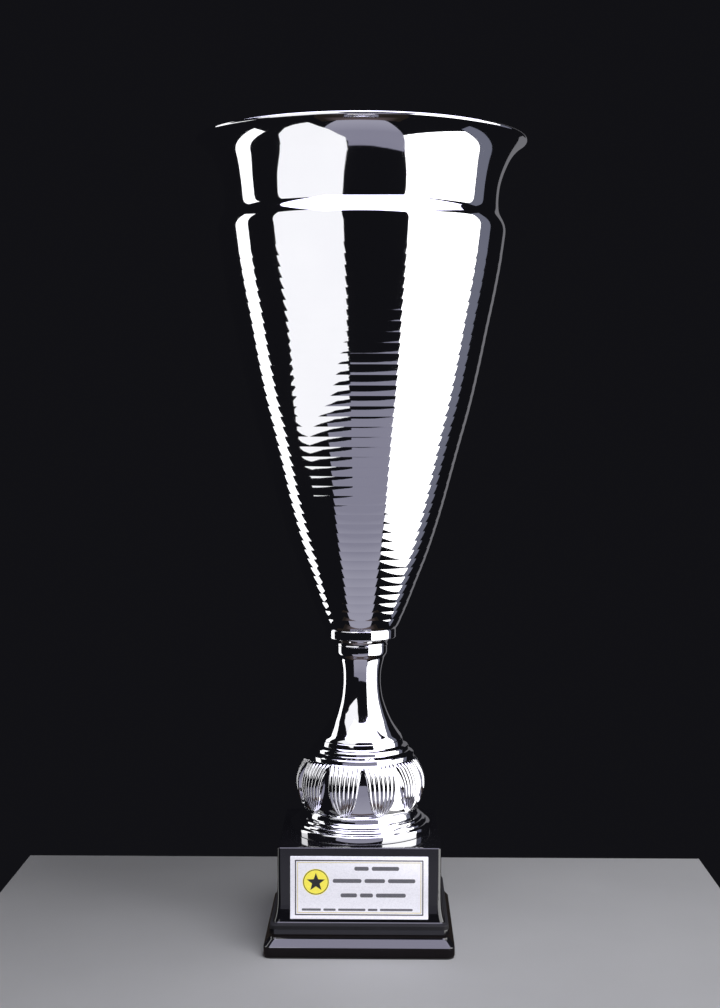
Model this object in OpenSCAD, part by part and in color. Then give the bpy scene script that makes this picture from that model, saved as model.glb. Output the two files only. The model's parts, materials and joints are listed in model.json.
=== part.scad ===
// Cup trophy: a tall spun bowl with stepped bands, a collar, a trumpet stem,
// a petalled bulb and a ringed foot, all drawn together by one tie rod and
// clamped on a hollow black plinth that carries a name plate.
// Millimetres, +Z up, the front with the name plate faces -Y.
// Origin: centre of the resting face, under the rubber pad.

/* [Cup] */
// Outside diameter over the rolled lip
cup_d = 248; // [210:1:290]
// Height of the bowl from its seat to the middle of the lip
cup_h = 366; // [300:1:420]
// Sheet thickness of the spun bowl
cup_wall = 0.8; // [0.6:0.1:1.4]
// How far each spun band bulges past its two creases
band_bulge = 0.16; // [0.05:0.01:0.3]
// Radius of the rolled lip
lip_r = 1.25; // [1:0.05:2]

/* [Stem] */
// Diameter of the tie rod
rod_d = 8; // [6:1:8]
// Wall of the plated mouldings
mould_wall = 2.2; // [1.8:0.1:2.6]
// Number of petals round the bulb
petal_n = 10; // [8:1:12]
// Height of the petals above the bulb
petal_rise = 1.1; // [0.4:0.1:1.5]
// Depth of the grooves between a petal's ribs
rib_depth = 0.7; // [0.2:0.1:1]

/* [Plinth] */
// Width of the upper block of the plinth
block_w = 120; // [112:1:130]
// Wall of the plinth moulding
plinth_wall = 3.5; // [3:0.5:5]
// Thickness of the iron weight
weight_t = 12; // [8:1:20]
// Thickness of the rubber pad under the plinth
pad_t = 1; // [0.8:0.1:2]

/* [Name plate] */
// Width of the name plate
plate_w = 101; // [80:1:104]
// Height of the name plate
plate_h = 46; // [36:1:46]
// Thickness of the name plate
plate_t = 0.6; // [0.5:0.1:1]

/* [Hidden] */
$fn = 96;

// heights of the joints in the stack, from the floor up
z_plinth = 79.6;      // top of the plinth
z_foot = 96.8;        // foot meets bulb
z_bulb = 135.6;       // bulb meets ringed dome
z_dome = 149.8;       // dome meets stem
z_stem = 220.8;       // stem meets neck ring
z_neck = 226.8;       // neck ring meets collar
z_cup = 234;          // collar meets bowl
z_lip = z_cup + cup_h;
rod_r = rod_d / 2;
hole_r = rod_r + 0.4;  // clearance hole for the rod in every moulding
ky = cup_h / 366;
kr = (cup_d / 2 - 27.4) / (124 - 27.4);

// smooth curve r(z) through stations [z, r], tangents from the neighbours
function seat(S, z, i = 0) = (i >= len(S) - 2 || z <= S[i + 1][0]) ? i : seat(S, z, i + 1);
function slope(S, i) = (S[i + 1][1] - S[i][1]) / (S[i + 1][0] - S[i][0]);
function tang(S, i) = i == 0 ? slope(S, 0) : i == len(S) - 1 ? slope(S, i - 1)
    : let(a = S[i][0] - S[i - 1][0], b = S[i + 1][0] - S[i][0])
      (b * slope(S, i - 1) + a * slope(S, i)) / (a + b);
function curve(S, z) = let(i = seat(S, z), h = S[i + 1][0] - S[i][0], t = (z - S[i][0]) / h)
    (2 * t * t * t - 3 * t * t + 1) * S[i][1] + (t * t * t - 2 * t * t + t) * h * tang(S, i)
    + (3 * t * t - 2 * t * t * t) * S[i + 1][1] + (t * t * t - t * t) * h * tang(S, i + 1);

// outer wall of the bowl
wall = [[234, 27.4], [250, 34.5], [270, 42.4], [290, 50.2], [310, 56.9], [330, 62.9], [350, 68.3],
        [375, 75.1], [400, 82], [430, 89], [460, 95.2], [490, 101.5], [515, 105.9], [527, 107.6],
        [533.5, 108.3], [537.5, 107.7], [541.5, 105.9], [545.5, 103.7], [549, 103], [553, 102.8],
        [560, 103.1], [567.5, 104.1], [575, 106.1], [582, 109.2], [588, 112.9], [593, 117.4], [596.8, 121.2], [599.1, 123.5]];
bowl_wall = [for (p = wall) [z_cup + (p[0] - 234) * ky, 27.4 + (p[1] - 27.4) * kr]];
// creases of the spun bands, numbered down the bowl; the pitch shrinks steadily
band_n = 39;
function crease(k) = z_cup + (281.2 - 7.78 * k + 0.0165 * k * (k - 1)) * ky;
function wall_pt(z) = [curve(bowl_wall, z), z];
function inward(z, t) = let(e = 0.2, a = wall_pt(z - e), b = wall_pt(z + e), d = (b - a) / norm(b - a))
    wall_pt(z) + t * [-d[1], d[0]];

module spun(pts) { rotate_extrude($fn = 128) polygon(pts); }
module bored(r, z0, z1) { translate([0, 0, z0]) cylinder(r = r, h = z1 - z0); }
module tube(ro, ri, z0, z1) {
    difference() { bored(ro, z0, z1); bored(ri, z0 - 1, z1 + 1); }
}
// hexagon with its corners chamfered, bored for the rod
module hex_nut(af, h, bore) {
    difference() {
        intersection() {
            cylinder(r = af / sqrt(3), h = h, $fn = 6);
            spun([[0, 0], [af * 0.53, 0], [af * 0.58, 0.5], [af * 0.58, h - 0.5], [af * 0.53, h], [0, h]]);
        }
        translate([0, 0, -1]) cylinder(r = bore, h = h + 2);
    }
}

module cup_bowl() {
    z_sm = crease(0);
    bands = [for (k = [band_n - 1:-1:0], j = [0:1])
        let(z0 = crease(k + 1), z1 = crease(k), f = j / 2, z = z0 + (z1 - z0) * f)
        [curve(bowl_wall, z) + band_bulge * 4 * f * (1 - f), z]];
    upper = [for (z = [z_sm:6:z_cup + 293 * ky]) wall_pt(z)];
    flare = [for (i = [0:20]) wall_pt(z_cup + (296 + i * 3.455) * ky)];
    inner = [for (i = [0:21]) inward(z_cup + (364.6 - i * 3.4) * ky, cup_wall)];
    under = [for (i = [0:11]) inward(z_cup + (281 - i * 25) * ky, cup_wall)];
    color([0.86, 0.87, 0.9]) union() {
        spun(concat([[hole_r, z_cup], [26.4, z_cup], [27.3, z_cup + 0.7]], bands, upper, flare,
                    inner, under, [[25.6, z_cup + cup_wall], [hole_r, z_cup + cup_wall]]));
        rotate_extrude($fn = 128) translate([cup_d / 2 - lip_r, z_lip]) circle(r = lip_r, $fn = 16);
    }
}

module bowl_nut() {
    color([0.8, 0.81, 0.84]) translate([0, 0, z_cup + cup_wall + 3]) hex_nut(13, 6.5, rod_r);
}
module bowl_washer() {
    color([0.75, 0.76, 0.79]) tube(12, hole_r, z_cup + cup_wall + 1, z_cup + cup_wall + 3);
}
module sealing_washer() {
    color([0.12, 0.12, 0.12]) tube(12.5, hole_r, z_cup + cup_wall, z_cup + cup_wall + 1);
}
module bowl_collar() {
    color([0.86, 0.87, 0.9]) spun([[hole_r, z_neck + mould_wall], [24.2, z_neck + mould_wall], [24.2, z_neck],
        [26, z_neck], [26.5, z_neck + 0.3], [26.7, z_neck + 1], [26.7, z_cup - 1], [26.5, z_cup - 0.3],
        [26, z_cup], [hole_r, z_cup]]);
}
module neck_ring() {
    color([0.86, 0.87, 0.9]) spun([[hole_r, z_stem], [20, z_stem], [20.6, z_stem + 0.5], [20.2, z_stem + 1.4],
        [20.2, z_stem + 2.4], [20.9, z_stem + 3.8], [22, z_stem + 5], [23.6, z_neck],
        [24.1, z_neck], [24.1, z_neck + mould_wall - 0.1], [hole_r, z_neck + mould_wall - 0.1]]);
}

// trumpet stem: a thin moulding with a drilled web at its top
stem = [[149.8, 31.8], [151.3, 31.3], [155.1, 28.6], [159, 25.9], [162.8, 23.6], [166.7, 21.75],
        [170.5, 20.1], [174.4, 18.7], [178.2, 17.45], [182, 16.5], [186, 15.9], [190, 15.45],
        [195, 15.3], [201, 15.65], [205, 16.35], [209, 17.3], [211.5, 17.95], [212.7, 18.5],
        [214.2, 19.6], [215, 19.95], [217, 20.05], [220.8, 20.1]];
module stem_riser() {
    n = 34;
    out = [for (i = [0:n]) let(z = z_dome + (z_stem - z_dome) * i / n) [curve(stem, z), z]];
    inn = [for (i = [n - 2:-1:0]) let(z = z_dome + (z_stem - z_dome) * i / n)
        [curve(stem, z) - mould_wall * (1 + 0.5 * (n - i) / n * (i < 12 ? 1 : 0)), z]];
    color([0.86, 0.87, 0.9]) spun(concat(out, [[hole_r, z_stem], [hole_r, z_stem - 3], [inn[0][0], z_stem - 3]],
        [for (p = inn) if (p[1] < z_stem - 3.2) p]));
}

// stepped dome between the stem and the bulb
module ring_dome() {
    color([0.86, 0.87, 0.9]) spun([[hole_r, z_dome - mould_wall], [29.6, z_dome - mould_wall], [30.2, 143.6],
        [34.2, 143], [34.4, 139.4], [38.2, 138.6], [38.2, z_bulb], [40.6, z_bulb], [40.6, 138.6], [39.9, 139.4], [37.4, 141],
        [36.6, 141.3], [36.6, 143.4], [36, 144.4], [33.6, 145.4], [32.7, 145.8], [32.5, 147.6],
        [32.1, 149.2], [31.4, z_dome], [hole_r, z_dome]]);
}

// the bulb's own profile and the half-width of a petal, both by height
bulb = [[96.8, 42.2], [101, 44.4], [105, 46], [109, 47.2], [113, 48.1], [117, 48.3], [121, 47.9],
        [125, 46.7], [129, 44.9], [132.5, 42.8], [135.6, 40.6]];
petal = [[96.8, 0.2], [98.2, 3.9], [99.5, 5.8], [102.8, 8.9], [107.7, 11.8], [112.5, 13.3], [118, 14.3],
         [123.5, 15], [130.3, 16.4], [133.5, 17.4], [135.6, 17.6]];
// floor of the gaps between the petals
gap = [[96.8, 42.2], [99, 43.3], [102, 44], [106, 44.5], [112, 44.9], [118, 45], [124, 44.7], [129, 43.7],
       [132.5, 42.3], [135.6, 40.6]];
function petal_half(z) = curve(petal, z) * 10 / petal_n;
// 14 steps across a petal, crest and groove in turn, then one across the gap
function petal_r(j, z) = let(e = min(1, (z - z_foot) / 3, (z_bulb - z) / 2.2))
    j == 0 || j >= 14 ? curve(gap, z) : curve(bulb, z) + (petal_rise - (j % 2 == 0 ? rib_depth : 0)) * e;
module petal_bulb() {
    rows = 15;
    per = 16;
    n = per * petal_n;
    pts = [for (i = [0:rows], p = [0:petal_n - 1], j = [0:per - 1])
        let(z = z_foot + (z_bulb - z_foot) * i / rows, c = 360 / petal_n * (p - 0.42) - 90, w = petal_half(z),
            a = j <= 14 ? c - w + 2 * w * j / 14 : c + 180 / petal_n, r = petal_r(j, z))
        [r * cos(a), r * sin(a), z]];
    ends = [[0, 0, z_foot], [0, 0, z_bulb]];
    side = [for (i = [0:rows - 1], k = [0:n - 1]) let(a = i * n + k, b = i * n + (k + 1) % n)
        each [[a, a + n, b], [b, a + n, b + n]]];
    caps = [for (k = [0:n - 1]) let(t = rows * n) each [[(rows + 1) * n, k, (k + 1) % n],
        [(rows + 1) * n + 1, t + (k + 1) % n, t + k]]];
    color([0.86, 0.87, 0.9]) difference() {
        polyhedron(concat(pts, ends), concat(side, caps));
        spun([[0, z_foot - 1], [38.6, z_foot - 1], [38.6, z_foot + 3], [42.2, 107], [42.7, 116], [41.4, 126],
              [37.8, z_bulb - 2], [37.8, z_bulb + 1], [0, z_bulb + 1]]);
    }
}
// tube that takes the clamping load through the hollow bulb
module bulb_spacer() {
    color([0.7, 0.71, 0.73]) tube(8, hole_r, z_foot - mould_wall, z_dome - mould_wall);
}

// ringed foot: three beads over a plain band
module foot_flange() {
    color([0.86, 0.87, 0.9]) spun([[hole_r, z_foot - 2 * mould_wall], [38, z_foot - 2 * mould_wall],
        [40.5, 89.5], [47, 86.5], [50.6, 83], [50.8, z_plinth], [53.1, z_plinth], [53.3, z_plinth + 0.4],
        [53.3, 84.7], [52.9, 85.4], [51.3, 86.3], [51, 87], [49.8, 88.3], [48.2, 89.1], [47.8, 90], [46.4, 91.1],
        [44, 91.8], [43.5, 92.4], [43.3, 95.2], [44, 95.9], [43.4, z_foot], [38.4, z_foot],
        [38.2, z_foot - mould_wall], [hole_r, z_foot - mould_wall]]);
}
module tie_rod() {
    color([0.72, 0.73, 0.76]) spun([[0, 49], [rod_r - 0.9, 49], [rod_r - 0.05, 49.9],
        [rod_r - 0.05, z_cup + cup_wall + 11], [rod_r - 0.9, z_cup + cup_wall + 12], [0, z_cup + cup_wall + 12]]);
}

// square moulding with rounded corners: profile [overhang, z] past the corner centres
module moulding(c, prof) {
    z0 = prof[0][1];
    z1 = prof[len(prof) - 1][1];
    half = concat([[0, z0]], prof, [[0, z1]]);
    band = concat([for (p = prof) [c + p[0], p[1]]], [for (i = [len(prof) - 1:-1:0]) [-c - prof[i][0], prof[i][1]]]);
    for (x = [-c, c], y = [-c, c]) translate([x, y, 0]) rotate_extrude($fn = 64) polygon(half);
    for (a = [0, 90]) rotate([0, 0, a]) translate([0, c, 0]) rotate([90, 0, 0]) linear_extrude(2 * c) polygon(band);
}
// hollow sweep from the block's flat sides out to the ledge: [z, overhang past the flat]
cove = [[25.2, 2.75], [26.9, 2.15], [29, 1.55], [31, 1.1], [34, 0.65], [37, 0.35], [41, 0.12], [46, 0]];
function over(z) = lookup(z, cove);
module slab(w, z0, z1) { translate([-w / 2, -w / 2, z0]) cube([w, w, z1 - z0]); }
module plinth_body() {
    d = block_w / 2 - 60;
    boss = 53 + d;
    color([0.03, 0.03, 0.035]) difference() {
        union() {
            moulding(57.2 + d, concat([[8.5, 21], [8.4, 22.9], [8, 23.7], [6.4, 24.1]],
                [for (p = cove) [2.8 + p[1], p[0]]], [[2.8, 78.8], [2.5, 79.4], [2, z_plinth]]));
            moulding(60.5 + d, [[5.8, 12.4], [5.4, 13.5], [4.9, 14.4], [5, 16.2], [5.7, 16.9], [5.2, 22]]);
            moulding(63.8 + d, [[6.2, pad_t], [6.2, 8.1], [5.8, 8.7], [2.6, 12.8], [2.1, 13.5], [1.2, 14.2]]);
        }
        slab(block_w - 2 * plinth_wall, 17, z_plinth - 4);
        slab(block_w + 6, pad_t - 1, 17.5);
        slab(block_w + 13, pad_t - 1, pad_t + 3);
        cylinder(r = hole_r, h = 200);
    }
    color([0.03, 0.03, 0.035]) for (x = [-boss, boss], y = [-boss, boss]) translate([x, y, pad_t + 3])
        difference() {
            cylinder(r = 4, h = z_plinth - 4 - pad_t - 3);
            translate([0, 0, -1]) cylinder(r = 1.2, h = 15);
        }
}
module iron_weight() {
    color([0.25, 0.24, 0.23]) difference() {
        slab(80, z_plinth - 4 - weight_t, z_plinth - 4);
        cylinder(r = hole_r, h = 200);
    }
}
z_iron = z_plinth - 4 - weight_t;
module plinth_washer() {
    color([0.75, 0.76, 0.79]) tube(12, hole_r, z_iron - 2, z_iron);
}
// split ring, cut through on one side
module lock_washer() {
    color([0.55, 0.56, 0.58]) difference() {
        tube(7, rod_r + 0.15, z_iron - 4, z_iron - 2);
        translate([0, -0.4, z_iron - 5]) cube([20, 0.8, 4]);
    }
}
module plinth_nut() {
    color([0.75, 0.76, 0.79]) translate([0, 0, z_iron - 10.5]) hex_nut(13, 6.5, rod_r);
}
module closing_board() {
    boss = block_w / 2 - 7;
    color([0.35, 0.25, 0.16]) difference() {
        slab(block_w + 12.4, pad_t, pad_t + 3);
        for (x = [-boss, boss], y = [-boss, boss]) translate([x, y, 0]) cylinder(r = 1.6, h = 20);
        for (x = [-boss, boss], y = [-boss, boss]) translate([x, y, pad_t]) cylinder(r1 = 3.1, r2 = 1.6, h = 1.6);
    }
}
module board_screws() {
    boss = block_w / 2 - 7;
    color([0.7, 0.71, 0.73]) for (x = [-boss, boss], y = [-boss, boss]) translate([x, y, 0])
        spun([[0, pad_t], [3, pad_t], [1.15, pad_t + 1.85], [1.15, pad_t + 13], [0, pad_t + 14.4]]);
}
module base_pad() {
    w = block_w + 18.8;
    color([0.05, 0.05, 0.055]) moulding(w / 2 - 6, [[6, 0], [6, pad_t]]);
}

// name plate on the front of the block
z_plate = 50.4;
tape_t = 0.3;
y_face = -block_w / 2;
// thin sheet of width w and height h that lies against the block, following its sweep
module sheet(w, h, t, y, z = z_plate) {
    z0 = z - h / 2;
    z1 = z + h / 2;
    zs = concat([z0], [for (p = cove) if (p[0] > z0 + 0.2 && p[0] < z1 - 0.2) p[0]], [z1]);
    pts = concat([for (v = zs) [y - over(v), v]], [for (i = [len(zs) - 1:-1:0]) [y - t - over(zs[i]), zs[i]]]);
    rotate([90, 0, 90]) translate([0, 0, -w / 2]) linear_extrude(w) polygon(pts);
}
module frame_line(w, h, line, t, y) {
    difference() { sheet(w, h, t, y); sheet(w - 2 * line, h - 2 * line, t + 2, y + 1); }
}
module plate_tape() { color([0.92, 0.92, 0.9]) sheet(plate_w - 4, plate_h - 4, tape_t, y_face); }
module name_plate() { color([0.9, 0.9, 0.91]) sheet(plate_w, plate_h, plate_t, y_face - tape_t); }
// raised printed frame round the field of the plate
module plate_border() {
    color([0.12, 0.12, 0.13]) frame_line(plate_w - 7, plate_h - 5.4, 0.7, 0.1, y_face - tape_t - plate_t);
}
module plate_emblem() {
    color([0.95, 0.83, 0.1]) translate([-plate_w / 2 + 18.8, y_face - tape_t - plate_t, z_plate + 4])
        rotate([90, 0, 0]) cylinder(r = 9.7, h = 0.1);
}

cup_bowl();
bowl_nut();
bowl_washer();
sealing_washer();
bowl_collar();
neck_ring();
stem_riser();
ring_dome();
petal_bulb();
bulb_spacer();
foot_flange();
tie_rod();
plinth_body();
iron_weight();
plinth_washer();
lock_washer();
plinth_nut();
closing_board();
board_screws();
base_pad();
name_plate();
plate_border();
plate_emblem();
plate_tape();
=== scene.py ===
import bpy
import bmesh
import json
import math
import random
from mathutils import Matrix, Vector

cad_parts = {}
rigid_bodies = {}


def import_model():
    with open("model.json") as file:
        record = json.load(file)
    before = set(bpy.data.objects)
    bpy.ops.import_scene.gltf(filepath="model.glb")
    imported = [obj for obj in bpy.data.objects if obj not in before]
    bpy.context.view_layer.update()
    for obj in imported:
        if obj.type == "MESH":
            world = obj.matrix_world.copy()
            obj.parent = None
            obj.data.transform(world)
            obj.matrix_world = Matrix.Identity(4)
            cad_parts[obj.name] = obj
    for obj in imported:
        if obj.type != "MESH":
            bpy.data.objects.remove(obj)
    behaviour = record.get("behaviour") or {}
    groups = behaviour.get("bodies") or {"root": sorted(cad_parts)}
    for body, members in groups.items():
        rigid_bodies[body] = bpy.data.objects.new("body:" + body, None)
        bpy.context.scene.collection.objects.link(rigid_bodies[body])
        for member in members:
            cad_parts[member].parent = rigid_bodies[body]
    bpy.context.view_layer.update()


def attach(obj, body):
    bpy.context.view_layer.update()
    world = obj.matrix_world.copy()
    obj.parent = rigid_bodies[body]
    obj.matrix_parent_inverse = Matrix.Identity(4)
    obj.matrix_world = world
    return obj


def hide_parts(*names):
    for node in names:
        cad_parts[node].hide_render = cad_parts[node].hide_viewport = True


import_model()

MM = 0.001
TAU = 2 * math.pi

# ---------------------------------------------------------------- sizes, millimetres
Z_PLINTH, Z_FOOT, Z_BULB, Z_DOME = 79.6, 96.8, 135.6, 149.8
Z_STEM, Z_NECK, Z_CUP, Z_LIP = 220.8, 226.8, 234.0, 600.0
CUP_R, LIP_R, CUP_WALL, BULGE = 124.0, 1.25, 0.8, 0.16
ROD_R, HOLE_R, MOULD = 4.0, 4.4, 2.2
PAD_T = 1.0

WALL = [(234, 27.4), (250, 34.5), (270, 42.4), (290, 50.2), (310, 56.9), (330, 62.9), (350, 68.3),
        (375, 75.1), (400, 82), (430, 89), (460, 95.2), (490, 101.5), (515, 105.9), (527, 107.6),
        (533.5, 108.3), (537.5, 107.7), (541.5, 105.9), (545.5, 103.7), (549, 103), (553, 102.8),
        (560, 103.1), (567.5, 104.2), (575, 106.4), (582, 109.3), (585.4, 110.9), (589.6, 113.4),
        (593, 116.2), (595.5, 118.7), (597.3, 120.8), (599.1, 123.5)]
STEM = [(149.8, 31.8), (151.3, 31.3), (155.1, 28.6), (159, 25.9), (162.8, 23.6), (166.7, 21.75),
        (170.5, 20.1), (174.4, 18.7), (178.2, 17.45), (182, 16.5), (186, 15.9), (190, 15.45),
        (195, 15.3), (201, 15.65), (205, 16.35), (209, 17.3), (211.5, 17.95), (212.7, 18.5),
        (214.2, 19.6), (215, 19.95), (217, 20.05), (220.8, 20.1)]
BULB = [(96.8, 42.2), (101, 44.4), (105, 46), (109, 47.2), (113, 48.1), (117, 48.3), (121, 47.9),
        (125, 46.7), (129, 44.9), (132.5, 42.8), (135.6, 40.6)]
PETAL = [(96.8, 0.2), (98.2, 3.9), (99.5, 5.8), (102.8, 8.9), (107.7, 11.8), (112.5, 13.3),
         (118, 14.3), (123.5, 15), (130.3, 16.4), (133.5, 17.4), (135.6, 17.6)]


# floor of the gaps between the petals
GAP = [(96.8, 42.2), (99, 43.3), (102, 44), (106, 44.5), (112, 44.9), (118, 45), (124, 44.7), (129, 43.7),
       (132.5, 42.3), (135.6, 40.6)]
# hollow sweep of the plinth from its flat sides out to the ledge: height, overhang
COVE = [(25.2, 2.75), (26.9, 2.15), (29, 1.55), (31, 1.1), (34, 0.65), (37, 0.35), (41, 0.12), (46, 0)]


def over_at(z):
    if z <= COVE[0][0]:
        return COVE[0][1]
    for (a, u), (b, v) in zip(COVE, COVE[1:]):
        if z <= b:
            return u + (v - u) * (z - a) / (b - a)
    return 0.0


def crease(k):
    return Z_CUP + 281.2 - 7.78 * k + 0.0165 * k * (k - 1)


def tangent(S, i):
    if i == 0:
        return (S[1][1] - S[0][1]) / (S[1][0] - S[0][0])
    if i == len(S) - 1:
        return (S[-1][1] - S[-2][1]) / (S[-1][0] - S[-2][0])
    a, b = S[i][0] - S[i - 1][0], S[i + 1][0] - S[i][0]
    s0, s1 = (S[i][1] - S[i - 1][1]) / a, (S[i + 1][1] - S[i][1]) / b
    return (b * s0 + a * s1) / (a + b)


def curve(S, z):
    i = 0
    while i < len(S) - 2 and z > S[i + 1][0]:
        i += 1
    h = S[i + 1][0] - S[i][0]
    t = (z - S[i][0]) / h
    return ((2 * t ** 3 - 3 * t * t + 1) * S[i][1] + (t ** 3 - 2 * t * t + t) * h * tangent(S, i)
            + (3 * t * t - 2 * t ** 3) * S[i + 1][1] + (t ** 3 - t * t) * h * tangent(S, i + 1))


def soften(S, passes=2, width=4):
    """the same stations, read at a fine step and eased, so mirror reflections run without kinks"""
    z0, z1 = S[0][0], S[-1][0]
    n = int((z1 - z0) / 0.5)
    zs = [z0 + (z1 - z0) * i / n for i in range(n + 1)]
    rs = [curve(S, z) for z in zs]
    for _ in range(passes):
        q = rs[:]
        for i in range(1, n):
            w = min(width, i, n - i)
            q[i] = sum(rs[i - w:i + w + 1]) / (2 * w + 1)
        rs = q

    def at(z):
        f = min(max((z - z0) / (z1 - z0) * n, 0), n - 1e-9)
        i = int(f)
        # cubic through four neighbours
        p0 = rs[max(i - 1, 0)]
        p1, p2 = rs[i], rs[i + 1]
        p3 = rs[min(i + 2, n)]
        t = f - i
        return p1 + 0.5 * t * (p2 - p0 + t * (2 * p0 - 5 * p1 + 4 * p2 - p3 + t * (3 * (p1 - p2) + p3 - p0)))
    return at


# ---------------------------------------------------------------- node material kit
def material(name):
    m = bpy.data.materials.new(name)
    m.use_nodes = True
    nt = m.node_tree
    nt.nodes.clear()
    out = nt.nodes.new("ShaderNodeOutputMaterial")
    b = nt.nodes.new("ShaderNodeBsdfPrincipled")
    nt.links.new(b.outputs["BSDF"], out.inputs["Surface"])
    return m, nt, b


def node(nt, kind, links=None, **props):
    n = nt.nodes.new(kind)
    for k, v in props.items():
        setattr(n, k, v)
    for k, v in (links or {}).items():
        if isinstance(v, bpy.types.NodeSocket):
            nt.links.new(v, n.inputs[k])
        else:
            n.inputs[k].default_value = v
    return n


def obj_co(nt):
    return node(nt, "ShaderNodeTexCoord").outputs["Object"]


def mth(nt, op, a, b=None, c=None, clamp=False):
    n = nt.nodes.new("ShaderNodeMath")
    n.operation = op
    n.use_clamp = clamp
    for i, v in enumerate((a, b, c)):
        if v is None:
            continue
        if isinstance(v, bpy.types.NodeSocket):
            nt.links.new(v, n.inputs[i])
        else:
            n.inputs[i].default_value = v
    return n.outputs[0]


def noise(nt, co, scale, detail=2.0, rough=0.5, dims="3D", w=None):
    n = nt.nodes.new("ShaderNodeTexNoise")
    n.noise_dimensions = dims
    if co is not None and dims != "1D":
        nt.links.new(co, n.inputs["Vector"])
    if w is not None:
        nt.links.new(w, n.inputs["W"])
    n.inputs["Scale"].default_value = scale
    n.inputs["Detail"].default_value = detail
    n.inputs["Roughness"].default_value = rough
    return n.outputs["Fac"]


def ramp(nt, fac, stops):
    n = nt.nodes.new("ShaderNodeValToRGB")
    nt.links.new(fac, n.inputs["Fac"])
    e = n.color_ramp.elements
    while len(e) < len(stops):
        e.new(0.5)
    for s, (p, c) in zip(e, stops):
        s.position = p
        s.color = (c[0], c[1], c[2], 1) if isinstance(c, (tuple, list)) else (c, c, c, 1)
    return n.outputs["Color"]


def remap(nt, fac, lo, hi, a=0.0, b=1.0):
    n = nt.nodes.new("ShaderNodeMapRange")
    nt.links.new(fac, n.inputs["Value"])
    n.inputs["From Min"].default_value = a
    n.inputs["From Max"].default_value = b
    n.inputs["To Min"].default_value = lo
    n.inputs["To Max"].default_value = hi
    return n.outputs["Result"]


def bump(nt, bsdf, h, dist, strength=1.0, normal=None):
    n = nt.nodes.new("ShaderNodeBump")
    nt.links.new(h, n.inputs["Height"])
    n.inputs["Distance"].default_value = dist
    n.inputs["Strength"].default_value = strength
    if normal is not None:
        nt.links.new(normal, n.inputs["Normal"])
    nt.links.new(n.outputs["Normal"], bsdf.inputs["Normal"])
    return n.outputs["Normal"]


def lathe_lines(nt, co, scale, detail=3.0):
    """noise that varies only with height and radius, like the marks of a spinning tool"""
    s = node(nt, "ShaderNodeSeparateXYZ", {"Vector": co})
    rr = mth(nt, "SQRT", mth(nt, "ADD", mth(nt, "MULTIPLY", s.outputs["X"], s.outputs["X"]),
                             mth(nt, "MULTIPLY", s.outputs["Y"], s.outputs["Y"])))
    w = mth(nt, "ADD", s.outputs["Z"], mth(nt, "MULTIPLY", rr, 0.7))
    return noise(nt, None, scale, detail, 0.6, "1D", w)


def metal_base(name, tint, dark, rough, smear, lines, line_h, wave_h, wave_scale=18):
    m, nt, b = material(name)
    co = obj_co(nt)
    haze = noise(nt, co, 26, 4, 0.55)
    col = node(nt, "ShaderNodeMix", {"Factor": remap(nt, haze, 0, 1, 0.25, 0.75)}, data_type="RGBA")
    col.inputs[6].default_value = (*dark, 1)
    col.inputs[7].default_value = (*tint, 1)
    nt.links.new(col.outputs[2], b.inputs["Base Color"])
    b.inputs["Metallic"].default_value = 1.0
    spots = noise(nt, co, 300, 3, 0.6)
    r1 = remap(nt, haze, rough * (1 - smear), rough * (1 + smear), 0.3, 0.7)
    r2 = mth(nt, "ADD", r1, remap(nt, spots, 0.0, rough * 0.5, 0.55, 0.75))
    nt.links.new(r2, b.inputs["Roughness"])
    nrm = None
    if wave_h:
        wv = noise(nt, co, wave_scale, 1.5, 0.4)
        nb = nt.nodes.new("ShaderNodeBump")
        nt.links.new(wv, nb.inputs["Height"])
        nb.inputs["Distance"].default_value = wave_h
        nb.inputs["Strength"].default_value = 1.0
        nrm = nb.outputs["Normal"]
    bump(nt, b, lathe_lines(nt, co, lines), line_h, 1.0, nrm)
    return m


M_SPUN = metal_base("chrome_spun", (0.90, 0.90, 0.925), (0.87, 0.87, 0.90), 0.035, 0.35, 1900, 0.0000016, 0.00002)
M_PLATED = metal_base("chrome_plated", (0.90, 0.90, 0.925), (0.86, 0.86, 0.89), 0.045, 0.35, 900, 0.0000015, 0.00002)
M_ZINC = metal_base("zinc_bright", (0.66, 0.68, 0.72), (0.52, 0.53, 0.55), 0.26, 0.3, 1500, 0.00001, 0.00003, 90)


def black_gloss():
    m, nt, b = material("black_gloss_moulding")
    co = obj_co(nt)
    n1 = noise(nt, co, 40, 4, 0.6)
    c = ramp(nt, n1, [(0.3, (0.0045, 0.0045, 0.0055)), (0.7, (0.0075, 0.0075, 0.0088))])
    nt.links.new(c, b.inputs["Base Color"])
    b.inputs["IOR"].default_value = 1.5
    fine = noise(nt, co, 900, 4, 0.7)
    # the narrow step under the tall block is left matt
    sp = node(nt, "ShaderNodeSeparateXYZ", {"Vector": co})
    matt = remap(nt, mth(nt, "ABSOLUTE", mth(nt, "SUBTRACT", sp.outputs["Z"], 0.0226)), 0.75, 0.0, 0.0018, 0.0024)
    gloss = mth(nt, "ADD", remap(nt, n1, 0.05, 0.10, 0.3, 0.7), remap(nt, fine, 0.0, 0.03, 0.5, 0.8))
    nt.links.new(mth(nt, "MAXIMUM", matt, gloss), b.inputs["Roughness"])
    sag = noise(nt, co, 14, 2, 0.4)
    nb = nt.nodes.new("ShaderNodeBump")
    nt.links.new(sag, nb.inputs["Height"])
    nb.inputs["Distance"].default_value = 0.00009
    bump(nt, b, fine, 0.000003, 1.0, nb.outputs["Normal"])
    nt.links.new(mth(nt, "SUBTRACT", 1.0, mth(nt, "DIVIDE", matt, 0.75)), b.inputs["Coat Weight"])
    b.inputs["Coat Roughness"].default_value = 0.04
    return m


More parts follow.
